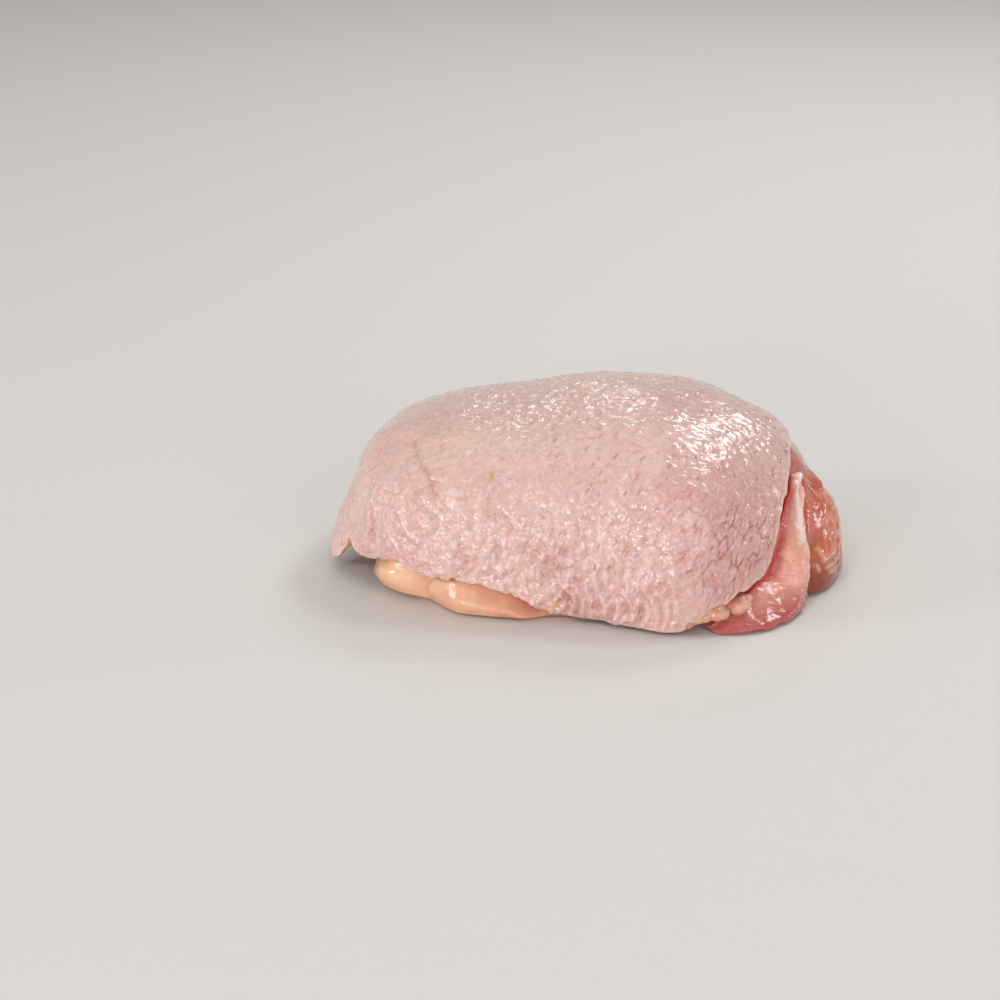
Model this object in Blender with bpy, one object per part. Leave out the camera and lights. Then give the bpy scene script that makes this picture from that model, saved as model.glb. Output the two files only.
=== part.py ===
"""Raw chicken thigh, lying skin side up on its flat meat side.

+X runs along the thigh to the thick joint end, +Y away from the front side, +Z up, and the
origin lies under the middle of the piece. The meat is one rounded form. The skin is a sheet
draped over it, and fat, lean lobes and a folded flap of muscle show where the skin ends.
"""

import bmesh
import bpy
import numpy as np
from mathutils import Vector
from mathutils.bvhtree import BVHTree

MM = 0.001

# The rounded form, in millimetres, seen from above: radii every 30 degrees from +X.
PLAN_RADII = (57.5, 51.0, 46.0, 44.0, 46.5, 53.0, 57.0, 51.5, 40.0, 38.5, 48.0, 52.0)
BASE_INSETS = (6.0, 6.0, 6.0, 6.0, 6.0, 6.0, 5.0, 6.0, 5.0, 3.5, 1.5, 5.0)
ROUNDNESS = (2.6, 2.6, 2.5, 2.4, 2.9, 3.6, 3.5, 2.9, 2.5, 2.35, 2.3, 2.45)
CREST_HEIGHT = 42.2
CREST_STEP = 2.4
CREST_X = -7.0
CREST_RUN = 12.0
BELLY_HEIGHT = 10.0
SOLE_INSET = 6.0

# Layers.
SKIN_THICKNESS = 1.8
GAP = 0.45
MEAT_TUCK = 3.5

# The skin's free edge: (angle in degrees, height above the board in millimetres).
SKIN_EDGE = (
    (154.0, 3.5),
    (166.0, 5.5),
    (176.0, 3.0),
    (181.5, 1.0),
    (185.0, 4.5),
    (187.5, 7.8),
    (190.5, 7.2),
    (197.5, 8.3),
    (206.0, 10.4),
    (214.5, 9.4),
    (226.5, 8.4),
    (242.0, 5.8),
    (247.0, 3.4),
    (252.0, 2.2),
    (257.0, 1.4),
    (262.5, 0.7),
    (290.0, 0.4),
    (297.0, 0.8),
    (302.5, 3.2),
    (309.0, 7.5),
    (316.0, 9.4),
    (320.0, 10.0),
    (322.5, 13.8),
    (327.0, 21.1),
    (331.0, 24.6),
    (338.5, 29.0),
    (345.0, 32.0),
    (354.0, 34.1),
    (368.0, 33.0),
    (380.0, 26.0),
    (390.0, 13.0),
    (398.0, 3.5),
    (406.0, 1.0),
    (418.0, 3.2),
    (428.0, 0.8),
    (444.0, 2.6),
    (456.0, 0.6),
    (470.0, 3.0),
    (482.0, 0.8),
    (494.0, 3.4),
    (502.0, 0.9),
)
# Soft folds: middle angle, spread, height and fade above the board, pitch in degrees, depth.
SKIN_FOLDS = (
    (207.0, 17.0, 21.0, 12.0, 9.0, 1.3),
    (277.0, 13.0, 2.0, 8.0, 10.5, 1.0),
    (144.0, 20.0, 8.0, 13.0, 9.0, 1.2),
    (84.0, 26.0, 3.0, 9.0, 8.5, 0.9),
)
SKIN_CORNERS = (181.5, 320.0, 396.0, 500.0)
SKIN_COLUMNS = 44
SKIN_ROWS = 32
FLAP_ANGLE = 181.0
FLAP_SPREAD = 10.5
FLAP_FLARE = 8.0
FLARE_HEIGHT = 20.0
FOOT_ANGLE = 291.0
FOOT_SPREAD = 12.0
FOOT_FLARE = 2.0

# The meat: hollows where the lumps lie against it, (angle, spread, depth).
MEAT_CELLS = 28
HOLLOW_HEIGHT = 20.0
HOLLOW_CURVE = 1.3
HOLLOWS = ((227.0, 36.0, 9.5), (318.0, 16.0, 9.0), (352.0, 16.0, 6.0))
SEAT_DEPTH = 2.6
SEAT_ANGLE = 334.0
SEAT_SPREAD = 14.0
LUMP_EDGE = 0.9
LUMP_GAP = 0.45
SMOOTHINGS = 3
OUTSIDE = 90.0
LOOK_BESIDE = ((0.0, 0.0), (0.02, 0.0), (-0.02, 0.0), (0.0, 0.7), (0.0, -0.7))

# The knuckle lobe: its near side leans along the flap, (angle at the foot, degrees a millimetre).
FOOT_HEIGHT = 0.4
KNUCKLE_NEAR = (332.9, 0.46)
KNUCKLE_ANGLE = 354.0
KNUCKLE_FAR = 373.0
KNUCKLE_TOP = 23.5
KNUCKLE_CROWN = 0.1
KNUCKLE_NARROWING = 0.6
KNUCKLE_ROOT = -3.2
KNUCKLE_BULGE = 4.4
KNUCKLE_WIDEST = 0.36

# The folded flap from its thin top to its left tip: angle and height of its root and of its free
# edge, then how far the free edge and the root stand off the rounded form.
FLAP_COURSE = (
    ((0.0, 342.0), (0.15, 338.5), (0.3, 334.0), (0.45, 327.5), (0.6, 322.5), (0.72, 316.5), (0.86, 308.5), (1.0, 302.0)),
    ((0.0, 28.2), (0.15, 25.0), (0.3, 21.5), (0.45, 16.0), (0.6, 9.0), (0.72, 7.4), (0.86, 5.0), (1.0, 1.4)),
    ((0.0, 345.0), (0.15, 341.0), (0.3, 338.5), (0.45, 335.5), (0.6, 331.0), (0.72, 324.5), (0.86, 313.0), (1.0, 302.5)),
    ((0.0, 28.0), (0.15, 23.0), (0.3, 17.0), (0.45, 9.0), (0.6, 1.2), (0.72, 0.5), (0.86, 0.5), (1.0, 0.4)),
    ((0.0, -1.6), (0.15, -1.6), (0.3, -0.6), (0.45, 1.4), (0.6, 4.0), (0.72, 5.4), (0.86, 5.2), (1.0, 0.8)),
    ((0.0, -2.2), (0.15, -3.0), (0.6, -3.0), (0.72, -2.0), (1.0, -0.5)),
)
EDGE_FAT_ALONG = (0.7, 0.97)
EDGE_FAT_ACROSS = (0.02, 0.34)
EDGE_FAT_THICKNESS = 1.5

# Grooves between the muscles of the underside: a point of each and its slant in degrees.
SOLE_GROOVES = ((-12.0, 16.0, 8.0), (6.0, -10.0, -52.0))
GROOVE_DEPTH = 1.6
GROOVE_REACH = 8.0


def around(values, angle):
    """Evenly spaced values round the circle, joined by a smooth curve."""
    values = np.asarray(values, dtype=float)
    place = np.mod(angle / (2.0 * np.pi), 1.0) * len(values)
    first = np.floor(place).astype(int)
    t = place - first
    a, b, c, d = (values[(first + k) % len(values)] for k in (-1, 0, 1, 2))
    bend = 2.0 * a - 5.0 * b + 4.0 * c - d
    twist = 3.0 * (b - c) + d - a
    return b + 0.5 * t * (c - a + t * (bend + t * twist))


def through(knots, place):
    """A curve through (place, value) knots that never overshoots them."""
    x, y = (np.array(column, dtype=float) for column in zip(*knots))
    step = np.diff(x)
    rise = np.diff(y) / step
    slope = np.zeros_like(y)
    same = rise[:-1] * rise[1:] > 0.0
    mean = 2.0 * rise[:-1] * rise[1:] / np.where(same, rise[:-1] + rise[1:], 1.0)
    slope[1:-1] = np.where(same, mean, 0.0)
    k = np.clip(np.searchsorted(x, place) - 1, 0, len(x) - 2)
    t = np.clip((place - x[k]) / step[k], 0.0, 1.0)
    start = (1.0 + 2.0 * t) * (1.0 - t) ** 2 * y[k] + t * (1.0 - t) ** 2 * step[k] * slope[k]
    end = t * t * (3.0 - 2.0 * t) * y[k + 1] - t * t * (1.0 - t) * step[k] * slope[k + 1]
    return start + end


def hump(value, middle, width):
    """1 at the middle, falling smoothly to 0 at a few widths."""
    return np.exp(-(((value - middle) / width) ** 2))


def window(value, low, high, soft):
    """1 between low and high, falling smoothly to 0 over soft on each side."""
    rise = np.clip((value - low) / soft + 1.0, 0.0, 1.0)
    fall = np.clip((high - value) / soft + 1.0, 0.0, 1.0)
    return (rise * rise * (3.0 - 2.0 * rise)) * (fall * fall * (3.0 - 2.0 * fall))


def form(angle, turn, shrink=0.0, tuck=0.0):
    """A point of the rounded form: turn is 0 at the top, 1 at the widest line, 2 on the board."""
    radius = around(PLAN_RADII, angle) - shrink
    inset = around(BASE_INSETS, angle) + tuck
    power = 2.0 / around(ROUNDNESS, angle)
    quarter = np.clip(turn, 0.0, 1.0) * np.pi / 2.0
    under = np.clip(turn - 1.0, 0.0, 1.0) * np.pi / 2.0
    sole = np.clip(turn - 2.0, 0.0, 1.0)
    out = radius * np.sin(quarter) ** power - inset * (1.0 - np.cos(under)) - SOLE_INSET * sole
    x = out * np.cos(angle)
    y = out * np.sin(angle)
    crest = CREST_HEIGHT + CREST_STEP * np.tanh((x - CREST_X) / CREST_RUN) - shrink
    upper = BELLY_HEIGHT + (crest - BELLY_HEIGHT) * np.maximum(np.cos(quarter), 0.0) ** power
    z = np.where(turn < 1.0, upper, BELLY_HEIGHT * (1.0 - np.sin(under)))
    return np.stack([x, y, z], axis=-1)


TURNS = np.linspace(0.0, 3.0, 121)


def travel(angle):
    """Way along the form's surface from its top to each of TURNS, as a share of the whole."""
    points = form(np.asarray(angle)[..., None], TURNS)
    steps = np.linalg.norm(np.diff(points, axis=-2), axis=-1)
    way = np.concatenate([np.zeros(steps.shape[:-1] + (1,)), np.cumsum(steps, axis=-1)], axis=-1)
    return way / way[..., -1:]


def turn_at(angle, reach):
    """The turn that lies at a share of the way from the top to the sole."""
    angle, reach = np.broadcast_arrays(angle, reach)
    ways = travel(angle.ravel())
    turns = [np.interp(share, way, TURNS) for share, way in zip(reach.ravel(), ways)]
    return np.array(turns).reshape(angle.shape)


def turn_of_height(angle, height):
    """The turn at which the form's surface has come down to a height."""
    angle, height = np.broadcast_arrays(angle, height)
    heights = form(angle.ravel()[:, None], TURNS)[..., 2]
    turns = [np.interp(-h, -row[:81], TURNS[:81]) for h, row in zip(height.ravel(), heights)]
    return np.array(turns).reshape(angle.shape)


def reach_of_height(angle, height):
    """The share of the way down at which the surface is at a height."""
    turn = turn_of_height(angle, height)
    ways = travel(np.ravel(angle))
    shares = [np.interp(t, TURNS, way) for t, way in zip(np.ravel(turn), ways)]
    return np.array(shares).reshape(np.shape(turn))


def polar(dx, dy):
    """Angle and reach of a place on the flattened disc."""
    return np.arctan2(dy, dx), np.minimum(np.hypot(dx, dy), 1.0)


def close_sheets(top, bottom):
    """Vertices and faces of the solid between two sheets of one grid, top facing out."""
    rows, columns = top.shape[:2]
    vertices = np.concatenate([top.reshape(-1, 3), bottom.reshape(-1, 3)])
    under = rows * columns
    faces = []
    for r in range(rows - 1):
        for c in range(columns - 1):
            a = r * columns + c
            b, d, e = a + 1, a + columns, a + columns + 1
            faces.append((a, b, e, d))
            faces.append((under + a, under + d, under + e, under + b))
    rim = [c for c in range(columns)]
    rim += [r * columns + columns - 1 for r in range(1, rows)]
    rim += [(rows - 1) * columns + c for c in range(columns - 2, -1, -1)]
    rim += [r * columns for r in range(rows - 2, 0, -1)]
    for a, b in zip(rim, rim[1:] + rim[:1]):
        faces.append((a, under + a, under + b, b))
    return vertices, faces


def material(name, colour, roughness):
    """A plain finish of its own for each sub-part."""
    finish = bpy.data.materials.new(name)
    finish.use_nodes = True
    shader = finish.node_tree.nodes["Principled BSDF"]
    shader.inputs["Base Color"].default_value = (*colour, 1.0)
    shader.inputs["Roughness"].default_value = roughness
    shader.inputs["Metallic"].default_value = 0.0
    return finish


def add_object(name, vertices, faces, finish):
    """A mesh object from points in millimetres, its faces turned outwards."""
    mesh = bpy.data.meshes.new(name)
    mesh.from_pydata([tuple(v) for v in vertices * MM], [], faces)
    shell = bmesh.new()
    shell.from_mesh(mesh)
    bmesh.ops.recalc_face_normals(shell, faces=shell.faces)
    shell.to_mesh(mesh)
    shell.free()
    mesh.materials.append(finish)
    mesh.shade_smooth()
    thing = bpy.data.objects.new(name, mesh)
    bpy.context.scene.collection.objects.link(thing)
    return thing


def edge_height(degrees):
    """Height of the skin's free edge all the way round."""
    knots = [(angle + turn, height) for turn in (-360.0, 0.0, 360.0) for angle, height in SKIN_EDGE]
    return through(knots, degrees)


def edge_arc(start, end, count):
    """Places on the disc along the skin's edge between two angles, evenly spaced."""
    degrees = np.linspace(start, end, 400)
    angle = np.radians(degrees)
    reach = reach_of_height(angle, edge_height(degrees))
    place = np.stack([reach * np.cos(angle), reach * np.sin(angle)], axis=-1)
    way = np.concatenate([[0.0], np.cumsum(np.linalg.norm(np.diff(place, axis=0), axis=1))])
    at = np.linspace(0.0, way[-1], count)
    return np.stack([np.interp(at, way, place[:, k]) for k in (0, 1)], axis=-1)


def skin_places():
    """The skin as a four-cornered sheet on the disc, blended from its four edges."""
    front_left, front_right, back_right, back_left = SKIN_CORNERS
    front = edge_arc(front_left, front_right, SKIN_COLUMNS + 1)
    right = edge_arc(front_right, back_right, SKIN_ROWS + 1)
    back = edge_arc(back_left, back_right, SKIN_COLUMNS + 1)
    left = edge_arc(front_left + 360.0, back_left, SKIN_ROWS + 1)
    u = np.linspace(0.0, 1.0, SKIN_COLUMNS + 1)[None, :, None]
    v = np.linspace(0.0, 1.0, SKIN_ROWS + 1)[:, None, None]
    across = (1.0 - v) * front[None] + v * back[None]
    along = (1.0 - u) * left[:, None] + u * right[:, None]
    corners = (1.0 - v) * ((1.0 - u) * front[0] + u * front[-1]) + v * ((1.0 - u) * back[0] + u * back[-1])
    place = across + along - corners
    return place[..., 0], place[..., 1]


def turned_from(angle, degrees):
    """Degrees between an angle in radians and a direction, from -180 to 180."""
    return (np.degrees(angle) - degrees + 180.0) % 360.0 - 180.0


def skin_relief(angle, height):
    """Height of the skin's soft folds over the rounded form."""
    relief = 0.0 * angle
    for middle, spread, level, fade, pitch, depth in SKIN_FOLDS:
        away = turned_from(angle, middle)
        ripple = 0.5 + 0.5 * np.cos(2.0 * np.pi * away / pitch)
        relief += depth * ripple * hump(away, 0.0, spread) * hump(height, level, fade)
    return relief


def skin_surface(dx, dy):
    """The outer side of the skin over the disc."""
    angle, reach = polar(dx, dy)
    turn = turn_at(angle, reach)
    height = form(angle, turn)[..., 2]
    point = form(angle, turn, -skin_relief(angle, height))
    low = np.clip(1.0 - height / FLARE_HEIGHT, 0.0, 1.0)
    flare = FLAP_FLARE * low**0.9 * hump(turned_from(angle, FLAP_ANGLE), 0.0, FLAP_SPREAD)
    flare += FOOT_FLARE * low**3 * hump(turned_from(angle, FOOT_ANGLE), 0.0, FOOT_SPREAD)
    point[..., 0] += flare * np.cos(angle)
    point[..., 1] += flare * np.sin(angle)
    return point


def normals_of(surface, dx, dy):
    """Outward directions of a surface over the disc."""
    step = 0.004
    along = surface(dx + step, dy) - surface(dx - step, dy)
    across = surface(dx, dy + step) - surface(dx, dy - step)
    normal = np.cross(along, across)
    return normal / np.linalg.norm(normal, axis=-1, keepdims=True)


def make_skin():
    dx, dy = skin_places()
    outer = skin_surface(dx, dy)
    inner = outer - SKIN_THICKNESS * normals_of(skin_surface, dx, dy)
    vertices, faces = close_sheets(outer, inner)
    return add_object("skin", vertices, faces, material("skin", (0.70, 0.45, 0.38), 0.3))


def disc_grid(cells):
    """A square grid stretched onto the disc."""
    s = np.linspace(-1.0, 1.0, cells + 1)
    s, t = np.meshgrid(s, s)
    return s * np.sqrt(1.0 - t * t / 2.0), t * np.sqrt(1.0 - s * s / 2.0)


def sole_height(x, y):
    """The underside: flat, with shallow grooves between the muscles."""
    level = 1.0 + 0.0 * x
    for groove_x, groove_y, slant in SOLE_GROOVES:
        a = np.radians(slant)
        off = (x - groove_x) * -np.sin(a) + (y - groove_y) * np.cos(a)
        level = level * (1.0 - window(off, 0.0, 0.0, GROOVE_REACH))
    return GROOVE_DEPTH * (1.0 - level)


def meat_surface(angle, turn):
    """The meat: the rounded form inside the skin, hollowed where the lumps lie against it."""
    point = form(angle, turn, SKIN_THICKNESS + GAP, MEAT_TUCK)
    height = point[..., 2]
    low = np.clip(1.0 - height / HOLLOW_HEIGHT, 0.0, 1.0) ** HOLLOW_CURVE
    deep = sum(depth * hump(turned_from(angle, at), 0.0, spread) for at, spread, depth in HOLLOWS)
    seat = SEAT_DEPTH * hump(turned_from(angle, SEAT_ANGLE), 0.0, SEAT_SPREAD)
    inward = low * deep + seat * window(height, 8.0, 22.0, 8.0)
    point[..., 0] -= inward * np.cos(angle)
    point[..., 1] -= inward * np.sin(angle)
    return point


def make_meat():
    """One closed body: a domed sheet and the flat sole share the ring where they meet."""
    dx, dy = disc_grid(MEAT_CELLS)
    angle, reach = polar(dx, dy)
    top = meat_surface(angle, turn_at(angle, reach))
    bottom = meat_surface(angle, 3.0 + 0.0 * angle) * reach[..., None]
    bottom[..., 2] = sole_height(bottom[..., 0], bottom[..., 1])
    rows, columns = top.shape[:2]
    inside = np.zeros((rows, columns), dtype=bool)
    inside[1:-1, 1:-1] = True
    index = np.arange(rows * columns).reshape(rows, columns)
    under = index.copy()
    under[inside] = rows * columns + np.arange(inside.sum())
    top[~inside, 2] = bottom[~inside, 2]
    vertices = np.concatenate([top.reshape(-1, 3), bottom[inside]])
    faces = []
    for r in range(rows - 1):
        for c in range(columns - 1):
            faces.append((index[r, c], index[r, c + 1], index[r + 1, c + 1], index[r + 1, c]))
            faces.append((under[r, c], under[r + 1, c], under[r + 1, c + 1], under[r, c + 1]))
    faces = [tuple(int(k) for k in face) for face in faces]
    return add_object("thigh_meat", vertices, faces, material("thigh_meat", (0.55, 0.2, 0.16), 0.35))


def form_radius(angle, height):
    """Distance from the middle to the rounded form at a height."""
    point = form(angle, turn_of_height(angle, height))
    return np.hypot(point[..., 0], point[..., 1])


def radius_of_things(trees, angle, height):
    """How far the things behind a lump reach at an angle and height, and just beside it."""
    reached = 0.0
    for turn, rise in LOOK_BESIDE:
        out = Vector((np.cos(angle + turn), np.sin(angle + turn), 0.0))
        start = out * OUTSIDE * MM + Vector((0.0, 0.0, max(height + rise, 0.05) * MM))
        for tree in trees:
            way = tree.ray_cast(start, -out)[3]
            if way is not None:
                reached = max(reached, OUTSIDE - way / MM)
    return reached


def smoothed_up(values):
    """Evens a sheet out without ever lowering it."""
    for _ in range(SMOOTHINGS):
        wide = np.pad(values, 1, mode="edge")
        mean = (wide[:-2, 1:-1] + wide[2:, 1:-1] + wide[1:-1, :-2] + wide[1:-1, 2:]) / 4.0
        values = np.maximum(values, mean)
    return values


def add_lump(name, angle, height, radius, swell, behind, finish):
    """A lump lying against the things behind it, its outer sheet given by angle, height and radius."""
    trees = [BVHTree.FromObject(thing, bpy.context.evaluated_depsgraph_get()) for thing in behind]
    back = np.zeros_like(radius)
    for place in np.ndindex(angle.shape):
        back[place] = radius_of_things(trees, angle[place], height[place]) + LUMP_GAP
    back = smoothed_up(back)
    front = smoothed_up(np.maximum(radius, back + LUMP_EDGE)) + swell
    sheets = [np.stack([r * np.cos(angle), r * np.sin(angle), height], axis=-1) for r in (front, back)]
    vertices, faces = close_sheets(*sheets)
    return add_object(name, vertices, faces, finish)


def grid(columns, rows):
    """u along and v across, from 0 to 1."""
    return np.meshgrid(np.linspace(0.0, 1.0, columns + 1), np.linspace(1.0, 0.0, rows + 1))


def pillow(u, v, squareness):
    """1 in the middle of the sheet, 0 along its edges."""
    return np.sqrt((1.0 - np.abs(2.0 * u - 1.0) ** squareness) * (1.0 - np.abs(2.0 * v - 1.0) ** squareness))


def make_front_lump(name, start, end, top, foot, bulge, cells, behind, finish):
    """A lump that swells out below the skin's edge on the front left."""
    u, v = grid(*cells)
    angle = np.radians(start + (end - start) * u)
    edge = edge_height(np.degrees(angle))
    height = foot + (np.maximum(edge + top, foot + 1.5) - foot) * v
    free = np.clip((edge - 1.0 - height) / 2.6, 0.0, 1.0)
    free = free * free * (3.0 - 2.0 * free)
    tucked = form_radius(angle, height) - SKIN_THICKNESS - GAP - 0.15
    radius = tucked + free * (SKIN_THICKNESS + GAP + bulge) * pillow(u, 0.2 + 0.8 * v, 3.0)
    return add_lump(name, angle, height, radius, 0.0, behind, finish)


def make_knuckle(behind):
    """The smooth lobe at the joint end, round at the top and lying on the board at its foot."""
    u, v = grid(18, 14)
    side = 2.0 * u - 1.0
    height = FOOT_HEIGHT + (KNUCKLE_TOP - FOOT_HEIGHT) * v * (1.0 - KNUCKLE_CROWN * v * side**2)
    near = KNUCKLE_ANGLE - KNUCKLE_NEAR[0] - KNUCKLE_NEAR[1] * height
    reach = np.where(side < 0.0, near, KNUCKLE_FAR - KNUCKLE_ANGLE)
    angle = np.radians(KNUCKLE_ANGLE + reach * side * np.sqrt(1.0 - KNUCKLE_NARROWING * v**2))
    up = KNUCKLE_WIDEST + (1.0 - KNUCKLE_WIDEST) * v
    swell = np.sqrt((1.0 - np.abs(side) ** 2.5) * (1.0 - up**2))
    wide = form_radius(angle, np.maximum(height, BELLY_HEIGHT))
    radius = wide + KNUCKLE_ROOT + (KNUCKLE_BULGE - KNUCKLE_ROOT) * swell
    finish = material("knuckle_lobe", (0.6, 0.28, 0.16), 0.25)
    return add_lump("knuckle_lobe", angle, height, radius, 0.0, behind, finish)


def flap_surface(along, across):
    """Angle, height and radius of the flap's outer side, from its root to its free edge."""
    root_angle, root_height, edge_angle, edge_height, ridge, root = (
        through(knots, along) for knots in FLAP_COURSE
    )
    angle = np.radians(root_angle + (edge_angle - root_angle) * across)
    height = root_height + (edge_height - root_height) * across
    climb = np.clip((across - 0.15) / 0.65, 0.0, 1.0)
    climb = climb * climb * (3.0 - 2.0 * climb)
    radius = form_radius(angle, np.maximum(height, BELLY_HEIGHT)) + root + (ridge - root) * climb
    return angle, height, radius


def make_flap(behind):
    """The sheet of muscle folded out beside the skin's edge, thin at its ridge, a lip at its foot."""
    angle, height, radius = flap_surface(*grid(30, 12))
    finish = material("muscle_flap", (0.62, 0.2, 0.18), 0.25)
    return add_lump("muscle_flap", angle, height, radius, 0.0, behind, finish)


def make_edge_fat(behind):
    """Lumps of fat between the skin's edge and the flap."""
    u, v = grid(14, 6)
    along = EDGE_FAT_ALONG[0] + (EDGE_FAT_ALONG[1] - EDGE_FAT_ALONG[0]) * u
    across = EDGE_FAT_ACROSS[0] + (EDGE_FAT_ACROSS[1] - EDGE_FAT_ACROSS[0]) * v * (1.0 - 0.3 * u)
    angle, height, radius = flap_surface(along, across)
    lumpy = 0.7 + 0.3 * np.cos(u * 3.0 * 2.0 * np.pi)
    swell = EDGE_FAT_THICKNESS * pillow(u, v, 3.0) * lumpy
    finish = material("edge_fat", (0.8, 0.6, 0.4), 0.3)
    return add_lump("edge_fat", angle, height, 0.0 * radius, swell, behind, finish)


def centre_on_origin(things):
    """Moves the pieces together until the origin lies under the middle of their box."""
    points = [thing.matrix_world @ vertex.co for thing in things for vertex in thing.data.vertices]
    points = np.array(points)
    low, high = points.min(axis=0), points.max(axis=0)
    for thing in things:
        thing.location = (-(low[0] + high[0]) / 2.0, -(low[1] + high[1]) / 2.0, -low[2])


def main():
    for thing in list(bpy.data.objects):
        bpy.data.objects.remove(thing, do_unlink=True)
    meat = make_meat()
    cream = material("fat_pad", (0.78, 0.55, 0.35), 0.3)
    peach = material("front_lobe", (0.75, 0.38, 0.24), 0.3)
    fat_pad = make_front_lump("fat_pad", 194.5, 210.5, 0.8, 1.2, 0.8, (9, 7), [meat], cream)
    front_lobe = make_front_lump("front_lobe", 211.4, 265.0, 0.8, 0.4, 2.9, (26, 8), [meat], peach)
    flap = make_flap([meat])
    edge_fat = make_edge_fat([flap])
    knuckle = make_knuckle([meat])
    centre_on_origin([meat, make_skin(), fat_pad, front_lobe, flap, edge_fat, knuckle])


main()
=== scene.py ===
# %% [markdown]
# # A raw chicken thigh
#
# A skin-on thigh lies skin side up on its flat meat side. The frame holds its solids: the meat,
# the skin draped over it, and the fat, lobes and folded flap that show where the skin ends.
# Those solids could simply be painted, but raw poultry lives by its fine relief: bumps where the
# feathers grew, creases, gathers, wet fibres. So each solid is divided finely, sculpted with
# numpy and given a finish that lets light in and gleams on top.

# %% Load the frame
import itertools
import math

import bmesh
import bpy
import numpy as np
from mathutils import Matrix, Vector
from mathutils.bvhtree import BVHTree
from mathutils.kdtree import KDTree


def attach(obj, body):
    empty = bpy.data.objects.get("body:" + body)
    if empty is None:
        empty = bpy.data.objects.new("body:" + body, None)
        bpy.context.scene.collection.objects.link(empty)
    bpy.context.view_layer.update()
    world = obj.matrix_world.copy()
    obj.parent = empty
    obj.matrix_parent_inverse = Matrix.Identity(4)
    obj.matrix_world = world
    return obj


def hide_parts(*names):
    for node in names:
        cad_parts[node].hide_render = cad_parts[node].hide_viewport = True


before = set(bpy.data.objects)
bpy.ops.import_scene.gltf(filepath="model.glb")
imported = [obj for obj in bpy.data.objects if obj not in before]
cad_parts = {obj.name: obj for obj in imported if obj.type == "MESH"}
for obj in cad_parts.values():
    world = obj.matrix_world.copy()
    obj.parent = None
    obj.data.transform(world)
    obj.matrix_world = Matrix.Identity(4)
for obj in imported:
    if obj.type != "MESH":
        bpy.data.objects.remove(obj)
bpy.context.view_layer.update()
MM = 0.001
print("solids:", ", ".join(sorted(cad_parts)))

# %% [markdown]
# ## Colours and nodes
#
# Colours are written as painters' hex codes, the way a picture shows them. A shader works in
# linear light, so one function turns them. A material is a small graph of nodes, and a second
# function adds one node with its settings and whatever is plugged into it. In Blender a mesh, a
# lamp or a camera is only data until an object shows it, and the last function makes that object.


# %% Colour, node and object helpers
def to_linear(code):
    """A hex colour such as #d5aca4 as linear red, green, blue and alpha."""
    parts = [int(code[k : k + 2], 16) / 255.0 for k in (1, 3, 5)]
    return [c / 12.92 if c <= 0.04045 else ((c + 0.055) / 1.055) ** 2.4 for c in parts] + [1.0]


def add_node(material, kind, settings=None, links=None):
    """Adds a node, sets its values by name or socket number, and plugs sources into it."""
    node = material.node_tree.nodes.new(kind)
    for name, value in (settings or {}).items():
        if isinstance(name, int) or name in node.inputs:
            node.inputs[name].default_value = value
        else:
            setattr(node, name, value)
    for name, source in (links or {}).items():
        material.node_tree.links.new(source, node.inputs[name])
    return node


def new_material(name):
    """A material with an empty graph and an output."""
    material = bpy.data.materials.new(name)
    material.use_nodes = True
    material.node_tree.nodes.clear()
    return material


def add_object(name, data):
    """Puts a mesh, lamp or camera into the scene as an object."""
    added = bpy.data.objects.new(name, data)
    bpy.context.scene.collection.objects.link(added)
    return added


print("raw skin, mid tone:", [round(c, 3) for c in to_linear("#d5aca4")])

# %% [markdown]
# ## Camera
#
# The photograph looks down on the thigh at about 22 degrees through a long lens. The camera
# stands at that place in the thigh's own frame, so that every part of the render falls where
# the photograph has it.

# %% Camera
CAMERA_PLACE = Vector((-21.1, -491.5, 211.8)) * MM
CAMERA_TILT = math.radians(21.74)
PICTURE_SIDE = 1000
FOCAL_LENGTH_IN_PIXELS = 2207

camera = add_object("camera", bpy.data.cameras.new("camera"))
camera.location = CAMERA_PLACE
camera.rotation_euler = (math.pi / 2 - CAMERA_TILT, 0.0, 0.0)
camera.data.lens = camera.data.sensor_width * FOCAL_LENGTH_IN_PIXELS / PICTURE_SIDE
camera.data.clip_start = 0.01
bpy.context.scene.camera = camera
print("lens in mm:", round(camera.data.lens, 1))

# %% [markdown]
# ## Stage and light
#
# A pale floor takes the soft shadow. It is a plane with matt paint on it, as a sheet of card
# would be in a studio, and it ends a little over a metre away, out of the camera's view.


# %% Floor
FLOOR_WIDTH = 2.4
FLOOR_GAP = 0.05 * MM


def make_floor():
    """A wide pale plane under the thigh, just low enough not to touch it."""
    half = FLOOR_WIDTH / 2.0
    corners = [(-half, -half, 0), (half, -half, 0), (half, half, 0), (-half, half, 0)]
    mesh = bpy.data.meshes.new("pale_floor")
    mesh.from_pydata(corners, [], [(0, 1, 2, 3)])
    floor = add_object("pale_floor", mesh)
    floor.location.z = -FLOOR_GAP
    paint = new_material("matt_pale_card")
    card = {"Base Color": to_linear("#dedad6"), "Roughness": 0.7}
    shader = add_node(paint, "ShaderNodeBsdfPrincipled", card)
    add_node(paint, "ShaderNodeOutputMaterial", links={"Surface": shader.outputs[0]})
    mesh.materials.append(paint)
    return floor


floor = make_floor()
print("floor in metres:", FLOOR_WIDTH, "wide")

# %% [markdown]
# ## Light
#
# A wet thing is seen by what its film mirrors. So each lamp stands where a gleam of the
# photograph needs one: the window behind the right shoulder draws its long streaks, a lamp at
# the right the patch on the flap, one low at the left the glints on the pebbles, one low at the
# right the shine of the joint lobe, and the rest the glints on top, behind and at the left. A
# small lamp gives a sharp glint and a large one a broad sheen, for the same light in all. A wide
# one in front opens the shadows.

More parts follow.
